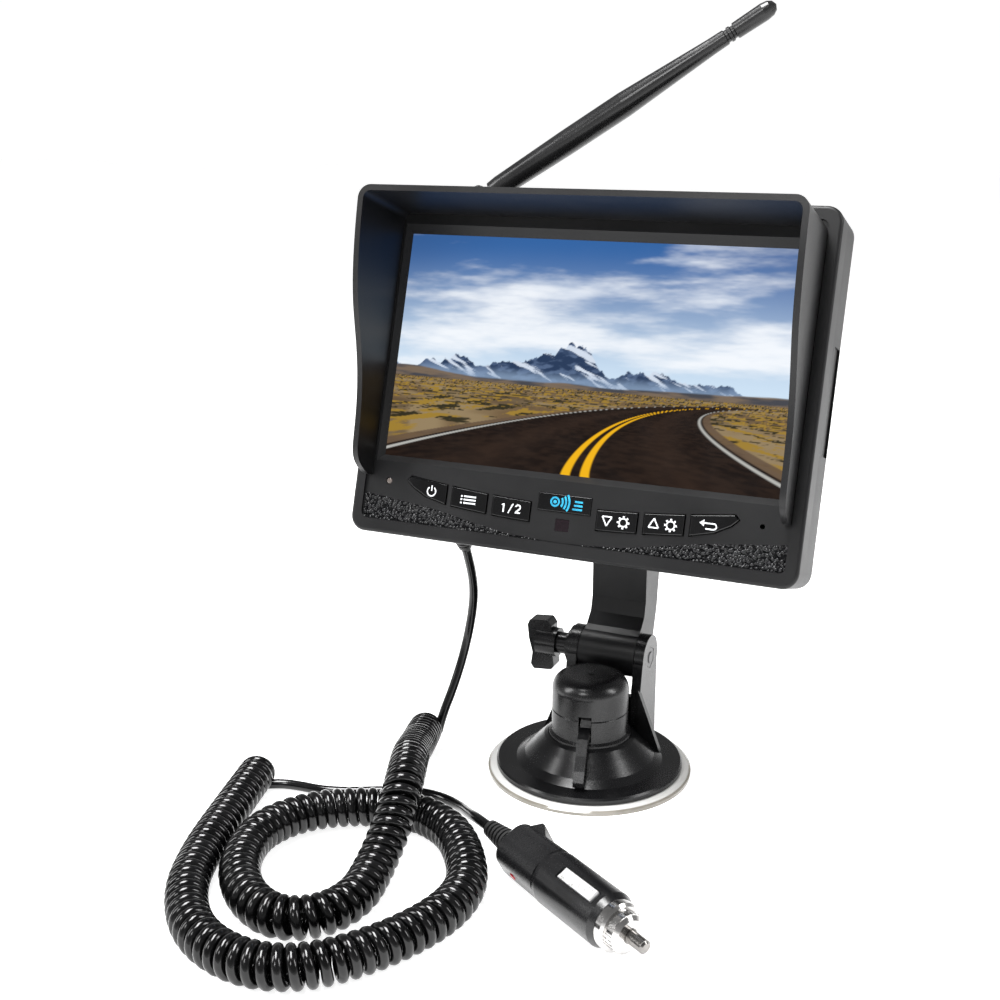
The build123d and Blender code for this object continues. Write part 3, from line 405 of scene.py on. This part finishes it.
# ---- the screen's picture: a made-up mountain road -------------------------------------------
def value_noise(x, y, seed, octaves=5, gain=0.5):
    """Smooth noise from 0 to 1 at points x, y."""
    table = np.random.RandomState(seed).rand(256, 256)
    total = np.zeros_like(x)
    size, whole = 1.0, 0.0
    for octave in range(octaves):
        px, py = x * 2 ** octave + 17.3 * octave, y * 2 ** octave + 31.7 * octave
        ix, iy = np.floor(px).astype(int), np.floor(py).astype(int)
        fx, fy = px - ix, py - iy
        fx, fy = fx * fx * (3 - 2 * fx), fy * fy * (3 - 2 * fy)
        corner = [[table[(iy + b) % 256, (ix + a) % 256] for a in (0, 1)] for b in (0, 1)]
        low = corner[0][0] * (1 - fx) + corner[0][1] * fx
        high = corner[1][0] * (1 - fx) + corner[1][1] * fx
        total += size * (low * (1 - fy) + high * fy)
        whole += size
        size *= gain
    return total / whole


def step(value, low, high):
    t = np.clip((value - low) / (high - low), 0, 1)
    return t * t * (3 - 2 * t)


def lay_over(under, over, cover):
    return under * (1 - cover[..., None]) + np.asarray(over, float) * cover[..., None]


def landscape(x, y):
    """Linear colours of the picture at x, y from 0 to 1, y upwards."""
    horizon = 0.385
    # sky and clouds
    t = step(y, horizon, 1.0)
    sky = lay_over(np.ones(x.shape + (3,)) * (0.62, 0.77, 0.92), (0.035, 0.13, 0.37), t ** 0.8)
    puff = value_noise(x * 3.2 + 1.5 * y, y * 7.5 - 0.8 * x, 3, 6, 0.55)
    wisp = value_noise(x * 5.0 + 3.0 * y, y * 22.0 - 2.0 * x, 5, 5, 0.55)
    bank = np.exp(-((x - 0.52) / 0.42) ** 2 - ((y - 0.74) / 0.15) ** 2)
    low_bank = np.exp(-((y - 0.55) / 0.08) ** 2) * (0.35 + 0.65 * x)
    cover = step(puff * 0.72 + wisp * 0.28 + 0.26 * bank + 0.22 * low_bank, 0.52, 0.86)
    sky = lay_over(sky, (0.93, 0.96, 1.0), cover * 0.93)
    shade = step(value_noise(x * 6 + 9, y * 16, 8, 4), 0.45, 0.75) * cover * step(y, 0.62, 0.9)
    sky = lay_over(sky, (0.38, 0.50, 0.70), shade * 0.55)
    edge = step(np.hypot((x - 0.5) * 1.2, (y - 0.62) * 1.1), 0.42, 0.75)
    sky = lay_over(sky, (0.04, 0.10, 0.26), edge * step(y, 0.6, 1.0) * 0.6)
    picture = sky
    # far mountains
    flat = np.zeros_like(x)
    rough = 1 - np.abs(2 * value_noise(x * 11.0, flat, 11, 6, 0.58) - 1)
    peaks = 0.050 * np.exp(-((x - 0.47) / 0.085) ** 2) + 0.022 * np.exp(-((x - 0.13) / 0.06) ** 2)
    peaks += 0.024 * np.exp(-((x - 0.70) / 0.06) ** 2)
    spires = (1 - np.abs(2 * value_noise(x * 34.0, flat, 12, 3, 0.5) - 1)) * 0.055
    ridge = horizon + 0.004 + 0.050 * rough ** 2.2 * (0.55 + 0.9 * np.exp(-((x - 0.4) / 0.4) ** 2)) + peaks
    spiky = 0.18 + 1.1 * np.exp(-((x - 0.46) / 0.07) ** 2) + 0.5 * np.exp(-((x - 0.13) / 0.05) ** 2)
    ridge += spires * spiky
    ridge -= 0.03 * step(x, 0.82, 1.0)
    rock = step(ridge - y, 0.0, 0.004)
    face = value_noise(x * 42 + 26 * y, y * 60 - 30 * x, 14, 4)
    tone = np.ones(x.shape + (3,)) * (0.022, 0.045, 0.105)
    tone = lay_over(tone, (0.09, 0.14, 0.25), step(face, 0.4, 0.7))
    snow = step(value_noise(x * 30 + 20 * y, y * 45 + 26 * x, 15, 4) + 1.2 * (y - horizon - 0.07), 0.56, 0.66)
    tone = lay_over(tone, (0.72, 0.80, 0.92), snow * 0.9)
    tone = lay_over(tone, (0.30, 0.42, 0.60), step(horizon + 0.035 - y, -0.02, 0.03) * 0.6)
    picture = lay_over(picture, tone, rock)
    # brown foothills
    left_hill = 0.03 * np.exp(-((x - 0.02) / 0.12) ** 2)
    hill = horizon - 0.012 + 0.045 * value_noise(x * 4.0 + 3, flat, 21, 4) + left_hill
    cloth = value_noise(x * 14 + 8 * y, y * 70, 22, 4)
    tone = np.ones(x.shape + (3,)) * (0.060, 0.062, 0.075)
    tone = lay_over(tone, (0.19, 0.14, 0.10), step(cloth, 0.35, 0.7))
    picture = lay_over(picture, tone, step(hill - y, 0.0, 0.006))
    # ground, seen in perspective: far is the distance of each point from the eye
    drop = np.maximum(horizon - 0.018 - y, 1e-4)
    far = 0.112 / drop
    away = (x - 0.51) * far
    ground = step(horizon - 0.018 - y, 0.0, 0.004)
    band = value_noise(x * 5, far * 2.0, 31, 4)
    dirt = lay_over(np.ones(x.shape + (3,)) * (0.17, 0.11, 0.055), (0.30, 0.22, 0.12), step(band, 0.35, 0.65))
    dirt = lay_over(dirt, (0.11, 0.075, 0.045), step(value_noise(x * 9, far * 1.3, 32, 3), 0.5, 0.75) * 0.7)
    tuft = value_noise(away * 26, far * 9 + 5, 33, 4, 0.6)
    grow = step(tuft, 0.50, 0.62)
    dirt = lay_over(dirt, (0.34, 0.21, 0.035), grow)
    scrub = value_noise(away * 30 + 7, far * 11, 34, 4, 0.6)
    dirt = lay_over(dirt, (0.035, 0.030, 0.015), step(scrub, 0.56, 0.66))
    picture = lay_over(picture, dirt, ground)
    # road
    middle = 0.2 * np.maximum(far - 0.31, 0) ** 1.45
    off = away - middle
    soft = 0.0022 * far + 0.0008
    tar = step(value_noise(away * 90, far * 60, 41, 3), 0.2, 0.8)
    road = lay_over(np.ones(x.shape + (3,)) * (0.010, 0.006, 0.005), (0.024, 0.014, 0.010), tar)
    worn = np.exp(-((np.abs(off) - 0.085) / 0.03) ** 2)
    road = lay_over(road, (0.045, 0.026, 0.018), worn * 0.4)
    near = ground * step(6.5 - far, 0, 1.5)
    shoulder = step(0.205 - np.abs(off), -soft, soft) * near
    picture = lay_over(picture, (0.13, 0.085, 0.055), shoulder * 0.9)
    picture = lay_over(picture, road, step(0.182 - np.abs(off), -soft, soft) * near)
    white = step(0.0035 - np.abs(np.abs(off) - 0.172), -soft, soft) * near
    picture = lay_over(picture, (0.55, 0.55, 0.52), white * 0.85)
    for lane in (-0.0075, 0.0075):
        yellow = step(0.0036 - np.abs(off - lane), -soft * 0.6, soft * 0.6) * near
        picture = lay_over(picture, (0.90, 0.47, 0.01), yellow)
    return np.clip(picture, 0, 1)


def screen_picture():
    wide, high = PICTURE_COLUMNS, PICTURE_ROWS
    u, v = np.meshgrid(np.linspace(0, 1, wide), np.linspace(0, 1, high))
    flat = [(u - 0.5) * PICTURE_W, v * PICTURE_H - PICTURE_LOW, np.full_like(u, -PICTURE_DEPTH)]
    verts = np.stack(flat, -1).reshape(-1, 3) * MM
    faces = []
    for row in range(high - 1):
        for k in range(wide - 1):
            a = row * wide + k
            faces.append((a, a + 1, a + wide + 1, a + wide))
    piece = mesh_piece("screen_picture", verts, faces, MAT["picture"], MONITOR)
    layer = piece.data.color_attributes.new("Picture", "FLOAT_COLOR", "POINT")
    colours = np.concatenate([landscape(u, v).reshape(-1, 3), np.ones((wide * high, 1))], 1)
    layer.data.foreach_set("color", colours.astype(np.float32).ravel())
    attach(piece, "head")


screen_picture()


# ---- printed marks ----------------------------------------------------------------------------
def row_y(x):
    return ROW_LOW + x * x / (2 * ROW_R)


class Print:
    """Flat printed shapes in the monitor's plane, in mm."""

    def __init__(self):
        self.verts = []
        self.faces = []

    def poly(self, points):
        base = len(self.verts)
        self.verts += points
        self.faces.append(tuple(range(base, base + len(points))))

    def bar(self, x0, y0, x1, y1, w):
        length = math.hypot(x1 - x0, y1 - y0)
        nx, ny = -(y1 - y0) / length * w / 2, (x1 - x0) / length * w / 2
        self.poly([(x0 - nx, y0 - ny), (x1 - nx, y1 - ny), (x1 + nx, y1 + ny), (x0 + nx, y0 + ny)])

    def arc(self, x, y, r, w, a0, a1, parts=24):
        for k in range(parts):
            p, q = (math.radians(a0 + (a1 - a0) * n / parts) for n in (k, k + 1))
            ring = [(r - w / 2, p), (r + w / 2, p), (r + w / 2, q), (r - w / 2, q)]
            self.poly([(x + rr * math.cos(a), y + rr * math.sin(a)) for rr, a in ring])

    def triangle(self, x, y, size, up, w):
        flip = 1 if up else -1
        corner = [(x - size, y - flip * size * 0.8), (x + size, y - flip * size * 0.8), (x, y + flip * size)]
        for (x0, y0), (x1, y1) in zip(corner, corner[1:] + corner[:1]):
            self.bar(x0, y0, x1, y1, w)

    def sun(self, x, y):
        self.arc(x, y, 1.45, 0.5, 0, 360)
        for k in range(8):
            a = math.radians(45 * k)
            self.bar(x + 1.55 * math.cos(a), y + 1.55 * math.sin(a),
                     x + 2.35 * math.cos(a), y + 2.35 * math.sin(a), 0.7)

    def piece(self, name, height, body, look, slot):
        verts = [(x * MM, y * MM, height * MM) for x, y in self.verts]
        made = mesh_piece(name, verts, self.faces, MAT[look], MONITOR)
        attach(made, body)
        return made


CAP_TOP = 0.72
BADGE_TOP = 0.53


def cap_mark(mark, button):
    mark.piece("mark_" + button, CAP_TOP, "button_" + button, "marks", "gloss_plastic")


def power_mark(x=-54.0):
    y = row_y(x)
    mark = Print()
    mark.arc(x, y - 0.1, 1.75, 0.5, 125, 415)
    mark.bar(x, y + 0.1, x, y + 2.2, 0.5)
    cap_mark(mark, "power")


def menu_mark(x=-38.2):
    """Three lines of a list, each with its dot."""
    mark = Print()
    for k in (-1, 0, 1):
        y = row_y(x) + 1.25 * k
        mark.bar(x - 2.0, y, x + 3.0, y, 0.6)
        mark.bar(x - 3.3, y, x - 2.6, y, 0.6)
    cap_mark(mark, "menu")


def source_mark(x=-20.7):
    """The numbers 1 and 2, with a stroke between."""
    y = row_y(x)
    mark = Print()
    mark.bar(x - 2.9, y - 1.6, x - 2.9, y + 1.6, 0.62)
    mark.bar(x - 3.7, y + 1.0, x - 2.8, y + 1.5, 0.5)
    mark.bar(x - 0.9, y - 1.8, x + 0.8, y + 1.8, 0.5)
    mark.arc(x + 2.9, y + 0.65, 0.9, 0.58, -50, 170, 14)
    mark.bar(x + 3.55, y + 0.1, x + 2.0, y - 1.35, 0.58)
    mark.bar(x + 1.85, y - 1.35, x + 3.95, y - 1.35, 0.58)
    cap_mark(mark, "source")


def brightness_mark(x, button, up):
    mark = Print()
    mark.triangle(x - 3.6, row_y(x), 1.85, up, 0.5)
    mark.sun(x + 2.6, row_y(x))
    cap_mark(mark, button)


def reverse_mark(x=54.6):
    """An arrow that turns back."""
    y = row_y(x)
    mark = Print()
    mark.bar(x - 2.2, y + 0.75, x + 1.6, y + 0.75, 0.5)
    mark.arc(x + 1.6, y - 0.25, 1.0, 0.5, -90, 90, 12)
    mark.bar(x - 1.2, y - 1.25, x + 1.6, y - 1.25, 0.5)
    mark.poly([(x - 3.6, y + 0.75), (x - 1.9, y - 0.45), (x - 1.9, y + 1.95)])
    cap_mark(mark, "reverse")


def badge_mark(x=-3.6, y=-10.6):
    """A plain lens with waves going out from it, and three lines."""
    badge = Print()
    badge.arc(x, y, 1.55, 0.7, 0, 360)
    badge.arc(x, y, 0.35, 0.7, 0, 360, 12)
    for reach in (3.0, 4.3, 5.6):
        badge.arc(x, y, reach, 0.75, -32, 32, 12)
    for start, height in ((3.4, -12.6), (3.9, -11.2), (4.1, -9.8)):
        badge.bar(start, height, 7.2, height, 0.7)
    badge.piece("badge_mark", BADGE_TOP, "head", "glyph", "gloss_plastic")


power_mark()
menu_mark()
source_mark()
brightness_mark(20.7, "down", False)
brightness_mark(38.2, "up", True)
reverse_mark()
badge_mark()


# ---- small mouldings on the mount ----------------------------------------------------------------
RIBS, RIB_FIRST, RIB_STEP = 4, -58, 6.0
RIB_AT, FLANGE_TOP = 33.4, 5.0


def rib_marks():
    """Four short slanted ribs on the mount's flange, front right."""
    verts, faces = [], []
    for k in range(RIBS):
        a = math.radians(RIB_FIRST + RIB_STEP * k)
        middle = Vector((RIB_AT * math.cos(a), RIB_AT * math.sin(a), FLANGE_TOP))
        along = Vector((math.cos(a + 0.5), math.sin(a + 0.5), 0)) * 2.0
        across = Vector((-along.y, along.x, 0)).normalized() * 0.45
        top = Vector((0, 0, 0.35))
        base = len(verts)
        for lift, inset in ((Vector((0, 0, -0.1)), 1.0), (top, 0.72)):
            for sa, sc in ((-1, -1), (1, -1), (1, 1), (-1, 1)):
                verts.append(tuple((middle + lift + along * sa * inset + across * sc * inset) * MM))
        b = base
        faces += [(b + 4, b + 5, b + 6, b + 7)]
        faces += [(b + j, b + (j + 1) % 4, b + 4 + (j + 1) % 4, b + 4 + j) for j in range(4)]
    piece = mesh_piece("flange_ribs", verts, faces, MAT["mount_plastic"])
    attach(piece, "base")


rib_marks()

# ---- stage, light and camera ----------------------------------------------------------------------
FLOOR = 6.0
corners = [(-FLOOR, -FLOOR, 0), (FLOOR, -FLOOR, 0), (FLOOR, FLOOR, 0), (-FLOOR, FLOOR, 0)]
floor = mesh_piece("floor", corners, [(0, 1, 2, 3)],
                   dressed("pale_floor", (0.60, 0.60, 0.60), 0.7, 400.0, 0.001, 0.005, 900.0, 0.05,
                           Specular_IOR_Level=0.1, Emission_Color=(1, 1, 1, 1), Emission_Strength=0.86))

SKY_STOPS = ((0.0, 1.0), (0.10, 1.0), (0.17, 0.40), (0.40, 0.24), (1.0, 0.12))  # height, grey
SKY_STRENGTH = 1.02
world = bpy.data.worlds.new("studio")
bpy.context.scene.world = world
world.use_nodes = True
tree = world.node_tree
tree.nodes.clear()
way = tree.nodes.new("ShaderNodeTexCoord")
split = tree.nodes.new("ShaderNodeSeparateXYZ")
tree.links.new(way.outputs["Generated"], split.inputs[0])
ramp = tree.nodes.new("ShaderNodeValToRGB")
stops = ramp.color_ramp.elements
for at, grey in SKY_STOPS:
    stop = stops[0] if at == 0.0 else stops[-1] if at == 1.0 else stops.new(at)
    stop.position = at
    stop.color = (grey, grey, grey, 1)
tree.links.new(split.outputs[2], ramp.inputs[0])
sky = tree.nodes.new("ShaderNodeBackground")
sky.inputs["Strength"].default_value = SKY_STRENGTH
tree.links.new(ramp.outputs[0], sky.inputs["Color"])
out = tree.nodes.new("ShaderNodeOutputWorld")
tree.links.new(sky.outputs[0], out.inputs[0])


def soft_light(name, place, aim, size, power, tall=None):
    lamp = bpy.data.lights.new(name, "AREA")
    lamp.shape = "RECTANGLE"
    lamp.size = size
    lamp.size_y = tall or size
    lamp.energy = power
    holder = bpy.data.objects.new(name, lamp)
    holder.location = place
    holder.rotation_euler = (Vector(aim) - Vector(place)).to_track_quat("-Z", "Y").to_euler()
    bpy.context.scene.collection.objects.link(holder)


MIDDLE = (-0.01, -0.06, 0.10)
soft_light("over", (-0.20, -0.15, 1.30), MIDDLE, 0.80, 34.0, 0.5)
soft_light("left", (-1.10, -0.70, 0.85), MIDDLE, 0.35, 9.0, 0.8)
soft_light("right", (1.15, 0.15, 0.85), MIDDLE, 0.3, 7.0, 0.7)
soft_light("front", (-0.12, -1.15, 0.98), (0.05, 0.0, 0.2), 0.30, 4.0, 0.30)

LENS, SENSOR = 48.36, 36
EYE = Vector((0.1736, -0.4692, 0.2563))
AHEAD = Vector((-0.3984, 0.8749, -0.2755))
RIGHT = Vector((0.9101, 0.4144, 0.0))
camera = bpy.data.objects.new("camera", bpy.data.cameras.new("camera"))
camera.data.lens = LENS
camera.data.sensor_width = SENSOR
camera.data.clip_start = 0.01
camera.location = EYE
camera.rotation_euler = Matrix((RIGHT, RIGHT.cross(AHEAD), -AHEAD)).transposed().to_euler()
bpy.context.scene.collection.objects.link(camera)
bpy.context.scene.camera = camera
bpy.context.scene.view_settings.view_transform = "Standard"
